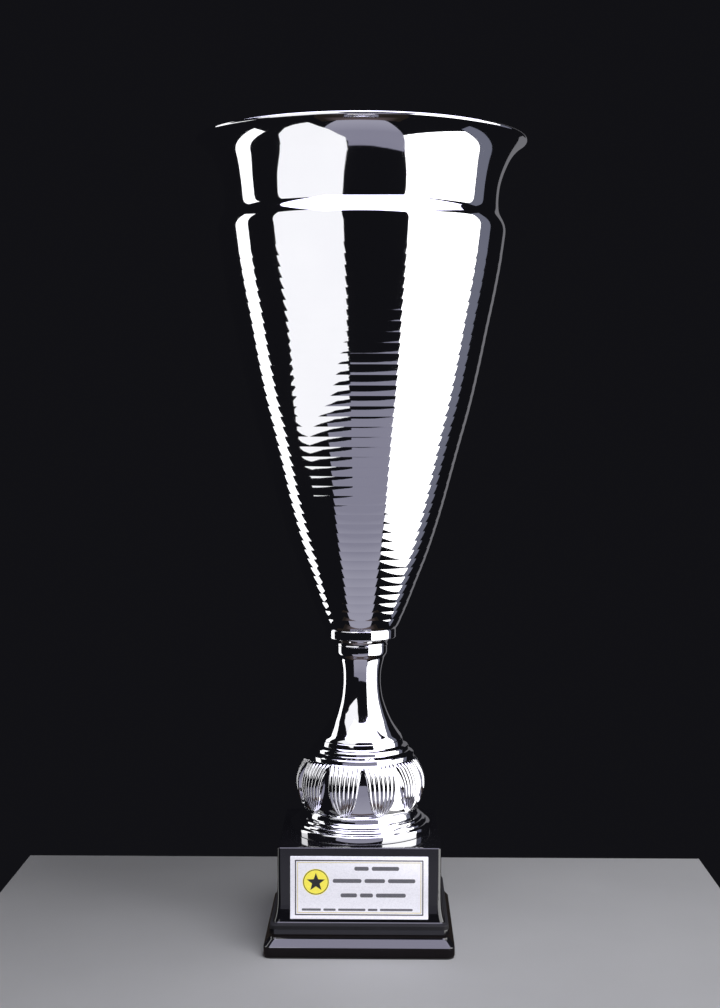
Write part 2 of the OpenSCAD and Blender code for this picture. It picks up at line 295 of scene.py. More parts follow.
def cast_iron():
    m, nt, b = material("cast_iron")
    co = obj_co(nt)
    n1 = noise(nt, co, 60, 6, 0.65)
    c = ramp(nt, n1, [(0.3, (0.05, 0.047, 0.045)), (0.55, (0.10, 0.095, 0.09)), (0.75, (0.16, 0.10, 0.065))])
    nt.links.new(c, b.inputs["Base Color"])
    b.inputs["Metallic"].default_value = 0.6
    nt.links.new(remap(nt, n1, 0.45, 0.75), b.inputs["Roughness"])
    bump(nt, b, noise(nt, co, 500, 6, 0.7), 0.0003)
    return m


def fibre_board():
    m, nt, b = material("fibre_board")
    co = obj_co(nt)
    mp = node(nt, "ShaderNodeMapping", {"Vector": co, "Scale": (300, 900, 900)})
    n1 = noise(nt, mp.outputs["Vector"], 1.0, 6, 0.75)
    c = ramp(nt, n1, [(0.25, (0.13, 0.075, 0.04)), (0.6, (0.24, 0.15, 0.085)), (0.85, (0.34, 0.23, 0.14))])
    nt.links.new(c, b.inputs["Base Color"])
    nt.links.new(remap(nt, n1, 0.65, 0.9), b.inputs["Roughness"])
    bump(nt, b, n1, 0.0001)
    return m


def rubber(name="rubber_black", grain=700):
    m, nt, b = material(name)
    co = obj_co(nt)
    n1 = noise(nt, co, 90, 4, 0.6)
    c = ramp(nt, n1, [(0.3, (0.012, 0.012, 0.013)), (0.7, (0.026, 0.026, 0.027))])
    nt.links.new(c, b.inputs["Base Color"])
    nt.links.new(remap(nt, n1, 0.62, 0.85), b.inputs["Roughness"])
    v = node(nt, "ShaderNodeTexVoronoi", {"Vector": co, "Scale": float(grain)})
    bump(nt, b, v.outputs["Distance"], 0.00012)
    return m


def plate_metal():
    m, nt, b = material("plate_silver_white")
    co = obj_co(nt)
    v = node(nt, "ShaderNodeTexVoronoi", {"Vector": co, "Scale": 1500.0})
    h = node(nt, "ShaderNodeSeparateColor", {"Color": v.outputs["Color"]})
    c = ramp(nt, h.outputs[0], [(0.0, (0.83, 0.83, 0.865)), (0.35, (0.88, 0.88, 0.915)), (1.0, (0.93, 0.93, 0.965))])
    nt.links.new(c, b.inputs["Base Color"])
    b.inputs["Metallic"].default_value = 0.25
    nt.links.new(remap(nt, h.outputs[1], 0.34, 0.6), b.inputs["Roughness"])
    bump(nt, b, noise(nt, co, 2600, 3, 0.6), 0.000012)
    return m


def ink(name, lo, hi, rough=0.4, sheen=0.0):
    m, nt, b = material(name)
    co = obj_co(nt)
    n1 = noise(nt, co, 1400, 4, 0.6)
    nt.links.new(ramp(nt, n1, [(0.3, lo), (0.7, hi)]), b.inputs["Base Color"])
    nt.links.new(remap(nt, n1, rough * 0.8, rough * 1.3), b.inputs["Roughness"])
    b.inputs["Metallic"].default_value = sheen
    bump(nt, b, n1, 0.00001)
    return m


M_BLACK = black_gloss()
M_IRON = cast_iron()
M_BOARD = fibre_board()
M_RUBBER = rubber()
M_PAD = rubber("rubber_pad", 420)
M_PLATE = plate_metal()
M_INK = ink("ink_charcoal", (0.05, 0.05, 0.055), (0.085, 0.085, 0.095))
M_GREY = ink("ink_grey", (0.09, 0.09, 0.10), (0.14, 0.14, 0.155), 0.45)
M_GOLD = ink("ink_pale_gold", (0.72, 0.62, 0.28), (0.85, 0.76, 0.42), 0.35, 0.3)
M_YELLOW = ink("ink_yellow", (0.82, 0.72, 0.07), (0.90, 0.82, 0.12), 0.35)
M_MARK = ink("ink_black", (0.015, 0.015, 0.017), (0.03, 0.03, 0.033), 0.35)
M_TAPE = ink("tape_white", (0.72, 0.72, 0.68), (0.82, 0.82, 0.79), 0.7)


# ---------------------------------------------------------------- mesh kit
def mesh_obj(name, verts, faces, mat, sharp=None, smooth=True, replaces=(), auto=None):
    me = bpy.data.meshes.new(name)
    me.from_pydata([(x * MM, y * MM, z * MM) for x, y, z in verts], [], faces)
    me.materials.append(mat)
    me.update()
    if smooth:
        me.polygons.foreach_set("use_smooth", [True] * len(me.polygons))
    if sharp:
        keys = {(min(a, b), max(a, b)) for a, b in sharp}
        at = me.attributes.get("sharp_edge") or me.attributes.new("sharp_edge", "BOOLEAN", "EDGE")
        vals = [tuple(sorted(e.vertices)) in keys for e in me.edges]
        at.data.foreach_set("value", vals)
    elif auto is not None:
        me.set_sharp_from_angle(angle=math.radians(auto))
    me.update()
    o = bpy.data.objects.new(name, me)
    bpy.context.scene.collection.objects.link(o)
    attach(o, "root")
    for r in replaces:
        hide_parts(r)
    return o


def ring_mesh(prof, seg, closed=True, turn=0.0):
    """surface of revolution of a (r, z, sharp) profile; profile runs so that faces point outwards"""
    n = len(prof)
    verts = []
    for i in range(seg):
        a = turn + TAU * i / seg
        c, s = math.cos(a), math.sin(a)
        verts += [(p[0] * c, p[0] * s, p[1]) for p in prof]
    faces, sharp = [], []
    last = n if closed else n - 1
    for i in range(seg):
        j = (i + 1) % seg
        for k in range(last):
            l = (k + 1) % n
            faces.append((i * n + k, j * n + k, j * n + l, i * n + l))
        for k in range(n):
            if prof[k][2]:
                sharp.append((i * n + k, j * n + k))
    return verts, faces, sharp


def corner_fillet(pts, rad=0.25, steps=4, min_turn=12):
    """pts: (r, z) or (r, z, own radius); rounds each corner that turns more than min_turn degrees"""
    out = []
    n = len(pts)
    for i in range(n):
        p0, p1, p2 = pts[i - 1], pts[i], pts[(i + 1) % n]
        own = p1[2] if len(p1) > 2 else rad
        a = Vector((p0[0] - p1[0], p0[1] - p1[1]))
        b = Vector((p2[0] - p1[0], p2[1] - p1[1]))
        la, lb = a.length, b.length
        if la < 1e-6 or lb < 1e-6:
            continue
        turn = math.degrees(math.pi - a.angle(b))
        if turn < min_turn or own <= 0:
            out.append((p1[0], p1[1], False))
            continue
        half = a.angle(b) / 2
        cut = min(own / math.tan(half), la * 0.48, lb * 0.48)
        r = cut * math.tan(half)
        pa, pb = Vector(p1[:2]) + a / la * cut, Vector(p1[:2]) + b / lb * cut
        bis = (a / la + b / lb).normalized()
        cen = Vector(p1[:2]) + bis * (r / math.sin(half))
        va, vb = pa - cen, pb - cen
        ang = va.angle(vb)
        for s in range(steps + 1):
            t = s / steps
            w0 = math.sin((1 - t) * ang) / math.sin(ang)
            w1 = math.sin(t * ang) / math.sin(ang)
            q = cen + va * w0 + vb * w1
            out.append((q[0], q[1], False))
    return out


def lathe(name, pts, mat, seg=240, fillet=0.25, steps=4, replaces=(), auto=None, min_turn=12):
    prof = corner_fillet(pts, fillet, steps, min_turn)
    v, f, s = ring_mesh(prof, seg)
    return mesh_obj(name, v, f, mat, None, True, replaces, auto)


# ---------------------------------------------------------------- the bowl
wall_at = soften(WALL, 1)


def inward(z, t):
    e = 0.2
    r0, r1 = wall_at(z - e), wall_at(z + e)
    d = Vector((r1 - r0, 2 * e)).normalized()
    return (wall_at(z) - t * d[1], z + t * d[0])


def build_bowl():
    prof = [(HOLE_R, Z_CUP, True), (15, Z_CUP, False), (25.9, Z_CUP, False), (26.5, Z_CUP + 0.08, False),
            (26.95, Z_CUP + 0.3, False), (27.25, Z_CUP + 0.65, False)]
    z_base = crease(39)
    f_in = [0.0, 0.12, 0.34, 0.6, 0.86]
    for k in range(38, -1, -1):
        z0, z1 = crease(k + 1), crease(k)
        for f in f_in:
            z = z0 + (z1 - z0) * f
            prof.append((wall_at(z) + BULGE * 4 * f * (1 - f), z, f == 0.0))
    z = crease(0)
    prof.append((wall_at(z), z, True))
    z += 1.5
    while z < 531.5:
        prof.append((wall_at(z), z, False))
        z += 2.2
    while z < 598.6:
        prof.append((wall_at(z), z, False))
        z += 1.15 if 531 < z < 551 else 1.7
    # rolled lip: under side, outside, top, back down inside
    cr, cz = CUP_R - LIP_R, Z_LIP
    for i in range(15):
        a = math.radians(-58 + i * 17.5)
        prof.append((cr + LIP_R * math.cos(a), cz + LIP_R * math.sin(a), False))
    zi = 597.9
    while zi > 551:
        r, zz = inward(zi, CUP_WALL)
        prof.append((r, zz, False))
        zi -= 3.0
    while zi > crease(0):
        r, zz = inward(zi, CUP_WALL)
        prof.append((r, zz, False))
        zi -= 1.6 if zi > 530 else 3.2
    for k in range(0, 39):
        z0, z1 = crease(k + 1), crease(k)
        for f in (1.0, 0.5):
            zc = z0 + (z1 - z0) * f
            r, zz = inward(zc, CUP_WALL)
            prof.append((r + BULGE * 4 * f * (1 - f), zz, f == 1.0))
    prof += [(26.6, Z_CUP + 1.3, False), (26.0, Z_CUP + 0.95, False), (25.2, Z_CUP + CUP_WALL, False),
             (HOLE_R, Z_CUP + CUP_WALL, True)]
    v, f, s = ring_mesh(prof, 240)
    print("bowl profile", len(prof), "tris", 2 * len(f))
    return mesh_obj("bowl", v, f, M_SPUN, s, True, ("cup_bowl",))


bowl = build_bowl()

# ---------------------------------------------------------------- collar and neck ring
collar = lathe("collar", [(HOLE_R, Z_NECK + MOULD, 0.1), (24.2, Z_NECK + MOULD, 0.1), (24.2, Z_NECK, 0.1),
                          (26.0, Z_NECK, 0.1), (26.5, Z_NECK + 0.2, 0.3), (26.7, Z_NECK + 0.7, 0.4),
                          (26.7, Z_CUP - 0.7, 0.4), (26.5, Z_CUP - 0.2, 0.3), (26.0, Z_CUP, 0.1), (HOLE_R, Z_CUP, 0.1)],
               M_PLATED, 200, replaces=("bowl_collar",), min_turn=8)
neck = lathe("neck", [(HOLE_R, Z_STEM, 0.1), (20, Z_STEM, 0.15), (20.6, Z_STEM + 0.5, 0.3), (20.2, Z_STEM + 1.4, 0.4),
                      (20.2, Z_STEM + 2.4, 0.6), (20.9, Z_STEM + 3.8, 0.8), (22, Z_STEM + 5, 0.8), (23.6, Z_NECK, 0.3),
                      (24.1, Z_NECK, 0.05), (24.1, Z_NECK + MOULD - 0.1, 0.1), (HOLE_R, Z_NECK + MOULD - 0.1, 0.1)],
             M_PLATED, 200, steps=5, replaces=("neck_ring",), min_turn=8)

# ---------------------------------------------------------------- stem
stem_at = soften(STEM, 1, 2)


def build_stem():
    out = []
    n = 110
    for i in range(n + 1):
        z = Z_DOME + (Z_STEM - Z_DOME) * i / n
        out.append((stem_at(z), z, i in (0, n)))
    out += [(HOLE_R, Z_STEM, True), (HOLE_R, Z_STEM - 3, True), (stem_at(Z_STEM - 3) - MOULD, Z_STEM - 3, True)]
    m = 40
    for i in range(m, -1, -1):
        z = Z_DOME + (Z_STEM - 3.4 - Z_DOME) * i / m
        low = min(1.0, max(0.0, (175 - z) / 25))
        out.append((stem_at(z) - MOULD * (1 + 0.5 * low), z, i == 0))
    v, f, s = ring_mesh(out, 200)
    return mesh_obj("stem", v, f, M_PLATED, s, True, ("stem_riser",))


stem = build_stem()

# ---------------------------------------------------------------- ringed dome
dome = lathe("dome", [(HOLE_R, Z_DOME - MOULD, 0.1), (29.6, Z_DOME - MOULD, 0.5), (30.2, 143.6, 0.5), (34.2, 143, 0.5),
                      (34.4, 139.4, 0.5), (38.2, 138.6, 0.5), (38.2, Z_BULB, 0.1), (40.6, Z_BULB, 0.15),
                      (40.6, 138.6, 0.25), (39.9, 139.4, 0.9), (37.4, 141.0, 0.9), (36.6, 141.3, 0.08),
                      (36.6, 143.4, 0.5), (36.0, 144.4, 0.7), (33.6, 145.4, 0.9), (32.7, 145.8, 0.08),
                      (32.5, 147.6, 0.6), (32.1, 149.2, 0.5), (31.4, Z_DOME, 0.2), (HOLE_R, Z_DOME, 0.1)],
             M_PLATED, 240, steps=6, replaces=("ring_dome",), min_turn=6)

# ---------------------------------------------------------------- petalled bulb
bulb_at = soften(BULB, 1)
gap_at = soften(GAP, 1)
PETALS, RISE, RIB = 10, 1.1, 1.0


def build_bulb():
    rows = 118
    ribs, per = 7, 8
    cols = []            # (kind, u) across one petal pitch: petal ribs, then the gap
    for j in range(ribs * per + 1):
        cols.append(("p", j / (ribs * per)))
    gap = 9
    for j in range(1, gap + 1):
        cols.append(("g", j / (gap + 1)))
    nc = len(cols)
    n = nc * PETALS
    verts, faces, sharp = [], [], []
    for i in range(rows + 1):
        z = Z_FOOT + (Z_BULB - Z_FOOT) * i / rows
        base = bulb_at(z)
        e = min(1.0, (z - Z_FOOT) / 3.0, (Z_BULB - z) / 2.2 + 0.0)
        e = max(0.0, e)
        w = curve(PETAL, z)
        for p in range(PETALS):
            c = 360 / PETALS * (p - 0.42) - 90
            for kind, u in cols:
                if kind == "p":
                    a = c - w + 2 * w * u
                    f = (u * ribs) % 1.0
                    hump = (4 * f * (1 - f)) ** 0.8 if 0 < f < 1 else 0.0
                    # ribs at the middle of the petal stand a little higher
                    crown = 1.0 - 0.18 * abs(2 * u - 1) ** 2
                    h = (RISE - RIB + RIB * hump) * e * crown
                    side = min(1.0, min(u, 1 - u) * ribs * per / 3.0)
                    core = gap_at(z)
                    r = core + (base + h - core) * side ** 0.6 if side > 0 else core
                else:
                    a = c + w + (360 / PETALS - 2 * w) * u
                    r = gap_at(z)
                a = math.radians(a)
                verts.append((r * math.cos(a), r * math.sin(a), z))
    for i in range(rows):
        for k in range(n):
            l = (k + 1) % n
            faces.append((i * n + k, i * n + l, (i + 1) * n + l, (i + 1) * n + k))
            j = k % nc
            if j <= ribs * per and j % per == 0:
                sharp.append((i * n + k, (i + 1) * n + k))
    # inner wall
    inner = [(38.6, Z_FOOT), (38.6, Z_FOOT + 3), (42.2, 107), (42.7, 116), (41.4, 126), (37.8, Z_BULB - 2), (37.8, Z_BULB)]
    seg = 90
    b0 = len(verts)
    for r, z in inner:
        for s in range(seg):
            a = TAU * s / seg
            verts.append((r * math.cos(a), r * math.sin(a), z))
    for i in range(len(inner) - 1):
        for s in range(seg):
            t = (s + 1) % seg
            faces.append((b0 + i * seg + t, b0 + i * seg + s, b0 + (i + 1) * seg + s, b0 + (i + 1) * seg + t))
    # end rings between the outer and inner walls
    for row, ib, flip in ((0, b0, False), (rows, b0 + (len(inner) - 1) * seg, True)):
        o0 = row * n
        ang_o = [math.atan2(verts[o0 + k][1], verts[o0 + k][0]) for k in range(n)]
        start = min(range(n), key=lambda k: ang_o[k] % TAU)
        order = [(start + k) % n for k in range(n)]
        oa = [ang_o[k] % TAU for k in order]
        i, j = 0, 0
        while i < n or j < seg:
            a_next = oa[i + 1] if i + 1 < n else (oa[0] + TAU if i + 1 == n else 1e9)
            b_next = TAU * (j + 1) / seg if j < seg else 1e9
            oi, ij = o0 + order[i % n], ib + (j % seg)
            if i < n and (a_next <= b_next or j >= seg):
                tri = (oi, o0 + order[(i + 1) % n], ij)
                i += 1
            else:
                tri = (oi, ib + ((j + 1) % seg), ij)
                j += 1
            faces.append(tri if flip else tri[::-1])
        for k in range(n):
            sharp.append((o0 + k, o0 + (k + 1) % n))
        for s in range(seg):
            sharp.append((ib + s, ib + (s + 1) % seg))
    print("bulb tris", sum(len(f) - 2 for f in faces))
    return mesh_obj("bulb", verts, faces, M_PLATED, sharp, True, ("petal_bulb",))


bulb = build_bulb()

# ---------------------------------------------------------------- ringed foot
foot = lathe("foot", [(HOLE_R, Z_FOOT - 2 * MOULD, 0.1), (38, Z_FOOT - 2 * MOULD, 0.5), (40.5, 89.5, 0.5),
                      (47, 86.5, 0.5), (50.6, 83, 0.5), (50.8, Z_PLINTH, 0.1), (53.1, Z_PLINTH, 0.15),
                      (53.3, Z_PLINTH + 0.4, 0.4), (53.3, 84.7, 0.5), (52.9, 85.4, 0.6), (51.2, 86.1, 0.4), (50.3, 86.3, 0.06),
                      (50.2, 87.4, 0.25), (49.4, 88.4, 0.7), (48.0, 89.0, 0.4), (47.1, 89.2, 0.06), (47.0, 90.3, 0.25), (46.1, 91.2, 0.7), (44, 91.8, 0.6), (43.5, 92.4, 0.15),
                      (43.3, 95.2, 0.1), (44.0, 95.9, 0.35), (43.4, Z_FOOT, 0.3), (38.4, Z_FOOT, 0.1),
                      (38.2, Z_FOOT - MOULD, 0.1), (HOLE_R, Z_FOOT - MOULD, 0.1)],
             M_PLATED, 240, steps=6, replaces=("foot_flange",), min_turn=6)


# ---------------------------------------------------------------- plinth: lofted square moulding with round corners
def square_loop(half, rad, n_arc=9, n_side=6):
    """corner loop of a rounded square, counter-clockwise from the middle of the right side"""
    pts = []
    c = half - rad
    for q in range(4):
        a0 = q * math.pi / 2
        cx, cy = (c, c) if q == 0 else (-c, c) if q == 1 else (-c, -c) if q == 2 else (c, -c)
        for i in range(n_arc + 1):
            a = a0 + math.pi / 2 * i / n_arc
            pts.append((cx + rad * math.cos(a), cy + rad * math.sin(a)))
        nx, ny = (-c, c) if q == 0 else (-c, -c) if q == 1 else (c, -c) if q == 2 else (c, c)
        a1 = a0 + math.pi / 2
        ex, ey = nx + rad * math.cos(a1), ny + rad * math.sin(a1)
        sx, sy = pts[-1]
        for i in range(1, n_side):
            t = i / n_side
            pts.append((sx + (ex - sx) * t, sy + (ey - sy) * t))
    return pts


def loft(levels, verts, faces, closed_top=False, closed_bottom=False, flip=False):
    base = len(verts)
    n = None
    for half, rad, z in levels:
        loop = square_loop(half, rad)
        n = len(loop)
        verts += [(x, y, z) for x, y in loop]
    for i in range(len(levels) - 1):
        for k in range(n):
            l = (k + 1) % n
            q = (base + i * n + k, base + i * n + l, base + (i + 1) * n + l, base + (i + 1) * n + k)
            faces.append(q[::-1] if flip else q)
    return base, n


def round_prof(pts, steps=5):
    """(half, z, own radius) open profile with its corners rounded, and with support points beside each"""
    out = [(pts[0][0], pts[0][1])]
    for i in range(1, len(pts) - 1):
        p0, p1, p2 = Vector(pts[i - 1][:2]), Vector(pts[i][:2]), Vector(pts[i + 1][:2])
        own = pts[i][2]
        a, b = p0 - p1, p2 - p1
        if own <= 0:
            out.append(tuple(p1))
            continue
        half = a.angle(b) / 2
        cut = min(own / math.tan(half), a.length * 0.47, b.length * 0.47)
        r = cut * math.tan(half)
        pa, pb = p1 + a.normalized() * cut, p1 + b.normalized() * cut
        cen = p1 + (a.normalized() + b.normalized()).normalized() * (r / math.sin(half))
        va, vb = pa - cen, pb - cen
        ang = va.angle(vb)
        for s in range(steps + 1):
            t = s / steps
            q = cen + va * (math.sin((1 - t) * ang) / math.sin(ang)) + vb * (math.sin(t * ang) / math.sin(ang))
            out.append((q[0], q[1]))
    out.append((pts[-1][0], pts[-1][1]))
    return out


def corner_rad(z):
    # block corners are tight, the skirt's are rounder
    if z >= 50:
        return 2.8
    if z >= 22:
        return 2.8 + (50 - z) / 28 * 2.2
    if z >= 13.5:
        return 5.2
    return 6.2


def build_plinth():
    outer = [(66.5, 4.0, 0), (69.6, PAD_T, 0.3), (70.0, 2.0, 0.5), (70.0, 8.1, 0.5), (69.6, 8.7, 0.5), (66.4, 12.8, 0.4),
             (65.9, 13.5, 0.3), (65.4, 14.4, 0.3), (65.5, 16.2, 0.3), (66.2, 16.9, 0.4), (65.6, 22.9, 0.6),
             (65.2, 23.7, 0.35), (63.6, 24.1, 0.3), (62.75, 25.2, 0.5)]
    outer += [(60.0 + over_at(z), z, 3.0) for z in (26.9, 29, 31, 34, 37, 41, 46)]
    outer += [(60.0, 64.0, 0), (60.0, 78.9, 0.5), (59.5, 79.45, 0.4), (59.0, Z_PLINTH, 0.2)]
    prof = round_prof(outer)
    prof += [(56, Z_PLINTH), (40, Z_PLINTH), (20, Z_PLINTH)]
    verts, faces = [], []
    base, n = loft([(h, min(corner_rad(z), h - 0.1), z) for h, z in prof], verts, faces)
    # top: down to the rod hole
    top0 = base + (len(prof) - 1) * n
    ring = []
    for k in range(n):
        x, y, _ = verts[top0 + k]
        a = math.atan2(y, x)
        ring.append(len(verts))
        verts.append((HOLE_R * math.cos(a), HOLE_R * math.sin(a), Z_PLINTH))
    for k in range(n):
        l = (k + 1) % n
        faces.append((top0 + k, top0 + l, ring[l], ring[k]))
    # the hole's wall and the ceiling of the cavity
    ring2 = []
    for k in ring:
        x, y, _ = verts[k]
        ring2.append(len(verts))
        verts.append((x, y, Z_PLINTH - 4))
    for k in range(n):
        l = (k + 1) % n
        faces.append((ring[k], ring[l], ring2[l], ring2[k]))
    cav = [(56.5, 75.6), (56.5, 17.5), (63.0, 17.5), (63.0, 4.0), (66.5, 4.0)]
    cb = len(verts)
    for h, z in cav:
        verts += [(x, y, z) for x, y in square_loop(h, 1.2)]
    for k in range(n):
        l = (k + 1) % n
        faces.append((ring2[k], ring2[l], cb + l, cb + k))
    for i in range(len(cav) - 1):
        for k in range(n):
            l = (k + 1) % n
            faces.append((cb + i * n + k, cb + i * n + l, cb + (i + 1) * n + l, cb + (i + 1) * n + k))
    last = cb + (len(cav) - 1) * n
    for k in range(n):
        l = (k + 1) % n
        faces.append((last + k, last + l, base + l, base + k))
    # four screw posts under the ceiling
    for sx in (-1, 1):
        for sy in (-1, 1):
            p0 = len(verts)
            lv = [(4.3, 75.6), (4.0, 74.9), (4.0, 4.4), (3.6, 4.0), (1.2, 4.0), (1.2, 18.0)]
            for r, z in lv:
                for s in range(24):
                    a = TAU * s / 24
                    verts.append((sx * 53 + r * math.cos(a), sy * 53 + r * math.sin(a), z))
            for i in range(len(lv) - 1):
                for s in range(24):
                    t = (s + 1) % 24
                    faces.append((p0 + i * 24 + t, p0 + i * 24 + s, p0 + (i + 1) * 24 + s, p0 + (i + 1) * 24 + t))
            faces.append(tuple(p0 + 5 * 24 + s for s in range(24)))
    return mesh_obj("plinth", verts, faces, M_BLACK, None, True, ("plinth_body",), auto=34)


plinth = build_plinth()


# ---------------------------------------------------------------- name plate
def slab_front(name, loops, mat, replaces=(), auto=30):
    """closed sheet built from loops of (x, z) at given depths y, first and last capped"""
    verts, faces = [], []
    n = len(loops[0][0])
    for pts, y in loops:
        verts += [(x, y, z) for x, z in pts]
    for i in range(len(loops) - 1):
        for k in range(n):
            l = (k + 1) % n
            faces.append((i * n + k, i * n + l, (i + 1) * n + l, (i + 1) * n + k))
    faces.append(tuple(range(n))[::-1])
    faces.append(tuple((len(loops) - 1) * n + k for k in range(n)))
    return mesh_obj(name, verts, faces, mat, None, True, replaces, auto=auto)


def rrect(w, h, r, cx=0.0, cz=0.0, n=5):
    pts = []
    for q, (sx, sz) in enumerate(((1, 1), (-1, 1), (-1, -1), (1, -1))):
        for i in range(n + 1):
            a = q * math.pi / 2 + math.pi / 2 * i / n
            pts.append((cx + sx * (w / 2 - r) + r * math.cos(a), cz + sz * (h / 2 - r) + r * math.sin(a)))
    return pts


Z_PLATE = 50.4
Y_FACE = -60.0
Y_BACK = Y_FACE - 0.3
Y_FRONT = Y_BACK - 0.6
def bend(o):
    """cut a flat sheet at close heights and lay it against the plinth's sweep"""
    bm = bmesh.new()
    bm.from_mesh(o.data)
    zs = [v.co.z for v in bm.verts]
    z = 27.0
    while z < 46.5:
        if min(zs) + 0.00012 < z * MM < max(zs) - 0.00012:
            bmesh.ops.bisect_plane(bm, geom=bm.verts[:] + bm.edges[:] + bm.faces[:], dist=1e-7,
                                   plane_co=(0, 0, z * MM), plane_no=(0, 0, 1))
        z += 0.75 if z < 34 else 1.5
    for v in bm.verts:
        v.co.y -= over_at(v.co.z / MM) * MM
    bm.to_mesh(o.data)
    bm.free()
    o.data.update()
    return o


plate = slab_front("plate", [(rrect(101, 46, 0.5, 0, Z_PLATE), Y_BACK), (rrect(101, 46, 0.5, 0, Z_PLATE), Y_FRONT + 0.14),
                             (rrect(100.9, 45.9, 0.47, 0, Z_PLATE), Y_FRONT + 0.06),
                             (rrect(100.72, 45.72, 0.45, 0, Z_PLATE), Y_FRONT)],
                   M_PLATE, ("name_plate",))


def frame_line(name, w, h, line, mat, replaces=(), rad=0.35, t=0.06):
    verts, faces = [], []
    outer = rrect(w, h, rad, 0, Z_PLATE)
    inner = rrect(w - 2 * line, h - 2 * line, max(rad - line, 0.05), 0, Z_PLATE)
    n = len(outer)
    for pts, y in ((outer, Y_FRONT), (outer, Y_FRONT - t), (inner, Y_FRONT - t), (inner, Y_FRONT)):
        verts += [(x, y, z) for x, z in pts]
    for i in range(4):
        j = (i + 1) % 4
        for k in range(n):
            l = (k + 1) % n
            faces.append((i * n + k, i * n + l, j * n + l, j * n + k))
    return mesh_obj(name, verts, faces, mat, None, False, replaces)


line_dark = frame_line("plate_line_dark", 94.0, 40.6, 0.8, M_MARK, ("plate_border",))
line_gold = frame_line("plate_line_gold", 90.8, 37.4, 0.5, M_GOLD)


def flat_shape(name, polys, mat, y0, t, replaces=()):
    """thin raised shapes on the plate from closed (x, z) outlines given counter-clockwise"""
    verts, faces = [], []
    for pts in polys:
        b = len(verts)
        n = len(pts)
        verts += [(x, y0, z) for x, z in pts]
        verts += [(x, y0 - t, z) for x, z in pts]
        for k in range(n):
            l = (k + 1) % n
            faces.append((b + k, b + l, b + n + l, b + n + k))
        faces.append(tuple(b + k for k in range(n))[::-1])
        faces.append(tuple(b + n + k for k in range(n)))
    return mesh_obj(name, verts, faces, mat, None, False, replaces)


EX, EZ, ER = -31.7, 54.4, 9.7


def disc(cx, cz, r, n=72):
    return [(cx + r * math.cos(TAU * i / n), cz + r * math.sin(TAU * i / n)) for i in range(n)]


def star(cx, cz, r, ri, n=5):
    return [(cx + (r if i % 2 == 0 else ri) * math.cos(math.pi / 2 + math.pi * i / n),
             cz + (r if i % 2 == 0 else ri) * math.sin(math.pi / 2 + math.pi * i / n)) for i in range(2 * n)]


emblem = flat_shape("emblem_disc", [disc(EX, EZ, ER)], M_YELLOW, Y_FRONT, 0.05, ("plate_emblem",))


def ring_strip(name, cx, cz, ro, ri, mat, y0, t, n=72):
    verts, faces = [], []
    o, i_ = disc(cx, cz, ro, n), disc(cx, cz, ri, n)
    for pts, y in ((o, y0), (o, y0 - t), (i_, y0 - t), (i_, y0)):
        verts += [(x, y, z) for x, z in pts]
    for i in range(4):
        j = (i + 1) % 4
        for k in range(n):
            l = (k + 1) % n
            faces.append((i * n + k, i * n + l, j * n + l, j * n + k))
    return mesh_obj(name, verts, faces, mat, None, False)


emblem_ring = ring_strip("emblem_ring", EX, EZ, 9.3, 8.75, M_MARK, Y_FRONT - 0.05, 0.03)
emblem_star = flat_shape("emblem_star", [star(EX, EZ - 0.3, 7.0, 2.9)], M_MARK, Y_FRONT - 0.05, 0.03)


def bar(cx, cz, w, h):
    return [(cx + w / 2, cz + h / 2), (cx - w / 2, cz + h / 2), (cx - w / 2, cz - h / 2), (cx + w / 2, cz - h / 2)]


def pill(x0, x1, cz, h, n=6):
    """short bar with rounded ends from x0 to x1"""
    r = h * 0.42
    return rrect(x1 - x0, h, r, (x0 + x1) / 2, cz, n)


# four rows of plain bars stand where a dedication would be engraved
ROWS = [(64.4, 2.9, -3.5, [10.5, 20]), (55.3, 2.9, -19.3, [21, 15, 20]), (44.6, 2.9, -13.6, [12, 9.5, 21.8]),
        (34.1, 1.6, -42.0, [14, 9, 20, 7, 24])]
pills = []
for cz, h, x, words in ROWS:
    for wd in words:
        pills.append(pill(x, x + wd, cz, h))
        x += wd + (2.2 if h > 2 else 1.8)
rules = flat_shape("plate_rules", pills, M_GREY, Y_FRONT, 0.05)
for o in (plate, line_dark, line_gold, rules):
    bend(o)


# ---------------------------------------------------------------- threaded rod, nuts and washers
def build_rod():
    z0, z1 = 49.0, Z_CUP + CUP_WALL + 12
    pitch, seg = 1.25, 20
    verts, faces = [], []
    per = 8
    shape = [0.0, 0.25, 0.62, 0.95, 1.0, 0.9, 0.5, 0.15]
    deep = 0.62
    nz = int((z1 - z0) / pitch * per)
    # one long strip that winds round the rod: rows by angle, columns by turn
    for i in range(nz + 1):
        z = z0 + (z1 - z0) * i / nz
        for s in range(seg):
            a = TAU * s / seg
            ph = ((z - z0) / pitch - s / seg) % 1.0
            f = ph * per
            k = int(f) % per
            d = shape[k] + (shape[(k + 1) % per] - shape[k]) * (f - int(f))
            end = min(1.0, (z - z0) / 1.0, (z1 - z) / 1.0)
            r = (ROD_R - 0.05 - deep * d) * 1.0
            r = min(r, ROD_R - 0.9 + 0.85 * max(0.0, end))
            verts.append((r * math.cos(a), r * math.sin(a), z))
    for i in range(nz):
        for s in range(seg):
            t = (s + 1) % seg
            faces.append((i * seg + s, i * seg + t, (i + 1) * seg + t, (i + 1) * seg + s))
    for i, flip in ((0, True), (nz, False)):
        c = len(verts)
        verts.append((0, 0, z0 if i == 0 else z1))
        for s in range(seg):
            t = (s + 1) % seg
            faces.append((i * seg + t, i * seg + s, c) if flip else (i * seg + s, i * seg + t, c))
    print("rod tris", sum(len(f) - 2 for f in faces))
    return mesh_obj("rod", verts, faces, M_ZINC, None, True, ("tie_rod",), auto=50)


rod = build_rod()


